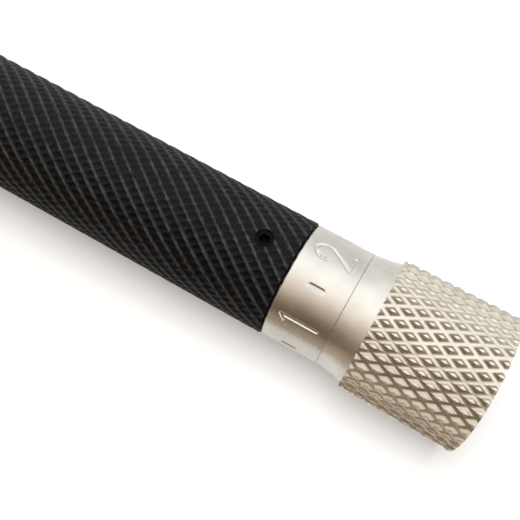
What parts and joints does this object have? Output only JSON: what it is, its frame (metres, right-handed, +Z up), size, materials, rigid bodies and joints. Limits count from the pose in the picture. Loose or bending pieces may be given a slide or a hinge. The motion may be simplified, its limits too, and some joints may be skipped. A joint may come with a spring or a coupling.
{
  "type": "ring sizer stick",
  "caption": "Knurled-handle ring sizing stick; a numbered dial knob drives a lead screw and cam bar that spread four stepped gauge leaves inside a finger ring.",
  "frame": {"origin": "on the surface that the tool rests on, below the middle of its length; the resting flat of the leaf guide is at Z = 0", "axes": "+X along the tool from the tip to the knob, +Z up, +Y to the back"},
  "size_m": [0.2264, 0.027, 0.027],
  "materials": {
    "black_anodised": "satin black anodised, knurled",
    "nickel_satin": "satin, circumferentially turned",
    "nickel_knurled": "satin, diamond knurled",
    "gauge_steel": "ground and lapped",
    "guide_steel": "turned and milled, satin",
    "black_oxide": "black oxide",
    "tool_steel": "ground",
    "brass_turned": "turned",
    "black_rubber": "matte"
  },
  "bodies": {
    "handle": {"handle_tube": "black_anodised", "index_screw": "black_oxide", "rear_bush": "brass_turned", "thrust_washer": "brass_turned", "leaf_guide": "guide_steel", "guide_cover": "guide_steel", "cover_screws": "black_oxide", "front_lock_screw": "black_oxide"},
    "dial": {"knob": "nickel_knurled", "dial_ring": "nickel_satin", "lead_screw": "tool_steel", "knob_screw": "black_oxide", "knob_washer": "tool_steel", "retaining_ring": "black_oxide", "friction_ring": "black_rubber"},
    "drawbar": {"drive_nut": "brass_turned", "nut_pin": "tool_steel", "cam_bar": "tool_steel", "nose_cone": "gauge_steel", "nose_screw": "black_oxide"},
    "top_leaf": {"leaf_top": "gauge_steel", "cam_pins_top": "tool_steel"},
    "back_leaf": {"leaf_back": "gauge_steel", "cam_pins_back": "tool_steel"},
    "bottom_leaf": {"leaf_bottom": "gauge_steel", "cam_pins_bottom": "tool_steel"},
    "front_leaf": {"leaf_front": "gauge_steel", "cam_pins_front": "tool_steel"}
  },
  "joints": [
    {"name": "bar_slide", "type": "slide", "parent": "handle", "child": "drawbar", "axis": [-1, 0, 0], "range_m": [-0.0003, 0.00132]},
    {"name": "dial_turn", "type": "hinge", "parent": "handle", "child": "dial", "pos_m": [0.11323, 0, 0.0135], "axis": [1, 0, 0], "range_deg": [-54.2, 234.2]},
    {"name": "top_leaf_slide", "type": "slide", "parent": "handle", "child": "top_leaf", "axis": [0, 0, 1], "range_m": [-0.00032, 0.00134]},
    {"name": "back_leaf_slide", "type": "slide", "parent": "handle", "child": "back_leaf", "axis": [0, 1, 0], "range_m": [-0.00032, 0.00134]},
    {"name": "bottom_leaf_slide", "type": "slide", "parent": "handle", "child": "bottom_leaf", "axis": [0, 0, -1], "range_m": [-0.00032, 0.00134]},
    {"name": "front_leaf_slide", "type": "slide", "parent": "handle", "child": "front_leaf", "axis": [0, -1, 0], "range_m": [-0.00032, 0.00134]}
  ],
  "couplings": [
    {"joint": "dial_turn", "follows": "bar_slide", "rad_per_m": 3092.1},
    {"joint": "top_leaf_slide", "follows": "bar_slide", "ratio": 1},
    {"joint": "back_leaf_slide", "follows": "bar_slide", "ratio": 1},
    {"joint": "bottom_leaf_slide", "follows": "bar_slide", "ratio": 1},
    {"joint": "front_leaf_slide", "follows": "bar_slide", "ratio": 1}
  ]
}
